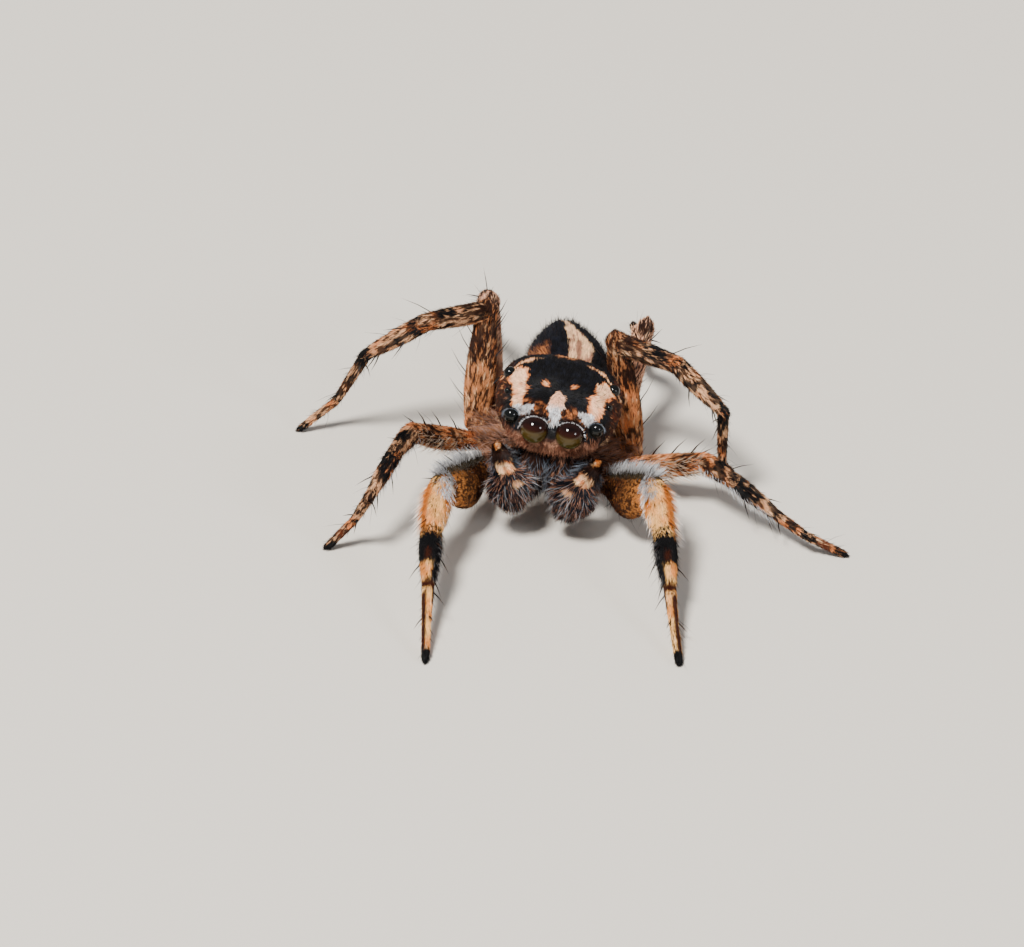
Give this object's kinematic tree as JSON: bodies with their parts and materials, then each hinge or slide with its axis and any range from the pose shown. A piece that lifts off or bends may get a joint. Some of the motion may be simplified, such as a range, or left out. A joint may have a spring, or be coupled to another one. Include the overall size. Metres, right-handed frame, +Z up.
{
  "type": "jumping spider model",
  "caption": "Life-size model of a male paradise jumping spider, standing on its feet, with a hairy body, spiny legs and large forward-facing eyes.",
  "frame": {"origin": "on the floor under the middle of the animal, feet included", "axes": "+Z up; the animal faces -Y, so +Y runs towards the hind feet; its left side is at +X"},
  "size_m": [0.0075, 0.0083, 0.0023],
  "materials": {
    "head_coat": "short scale-like hair in pink-cream, orange-brown and black",
    "face_coat": "pale tan hair",
    "black_coat": "black hair with cream bands",
    "leg_coat": "orange-tan hair with black rings, white fringes and black spines",
    "eye_lens": "wet gloss, olive to dark brown"
  },
  "bodies": {
    "root": {"abdomen": "black_coat", "cephalothorax": "head_coat", "chelicera_l": "face_coat", "chelicera_r": "face_coat", "eye_front_middle_l": "eye_lens", "eye_front_middle_r": "eye_lens", "eye_front_side_l": "eye_lens", "eye_front_side_r": "eye_lens", "eye_rear_l": "eye_lens", "eye_rear_r": "eye_lens", "eye_small_l": "eye_lens", "eye_small_r": "eye_lens", "leg_l1_femur": "leg_coat", "leg_l1_metatarsus": "leg_coat", "leg_l1_patella": "leg_coat", "leg_l1_tarsus": "leg_coat", "leg_l1_tibia": "leg_coat", "leg_l2_femur": "leg_coat", "leg_l2_metatarsus": "leg_coat", "leg_l2_patella": "leg_coat", "leg_l2_tarsus": "leg_coat", "leg_l2_tibia": "leg_coat", "leg_l3_femur": "leg_coat", "leg_l3_metatarsus": "leg_coat", "leg_l3_patella": "leg_coat", "leg_l3_tarsus": "leg_coat", "leg_l3_tibia": "leg_coat", "leg_l4_femur": "leg_coat", "leg_l4_metatarsus": "leg_coat", "leg_l4_patella": "leg_coat", "leg_l4_tarsus": "leg_coat", "leg_l4_tibia": "leg_coat", "leg_r1_femur": "leg_coat", "leg_r1_metatarsus": "leg_coat", "leg_r1_patella": "leg_coat", "leg_r1_tarsus": "leg_coat", "leg_r1_tibia": "leg_coat", "leg_r2_femur": "leg_coat", "leg_r2_metatarsus": "leg_coat", "leg_r2_patella": "leg_coat", "leg_r2_tarsus": "leg_coat", "leg_r2_tibia": "leg_coat", "leg_r3_femur": "leg_coat", "leg_r3_metatarsus": "leg_coat", "leg_r3_patella": "leg_coat", "leg_r3_tarsus": "leg_coat", "leg_r3_tibia": "leg_coat", "leg_r4_femur": "leg_coat", "leg_r4_metatarsus": "leg_coat", "leg_r4_patella": "leg_coat", "leg_r4_tarsus": "leg_coat", "leg_r4_tibia": "leg_coat", "palp_l_femur": "black_coat", "palp_l_tarsus": "black_coat", "palp_l_tibia": "black_coat", "palp_r_femur": "black_coat", "palp_r_tarsus": "black_coat", "palp_r_tibia": "black_coat", "pedicel": "black_coat", "spinnerets": "black_coat"}
  },
  "joints": []
}
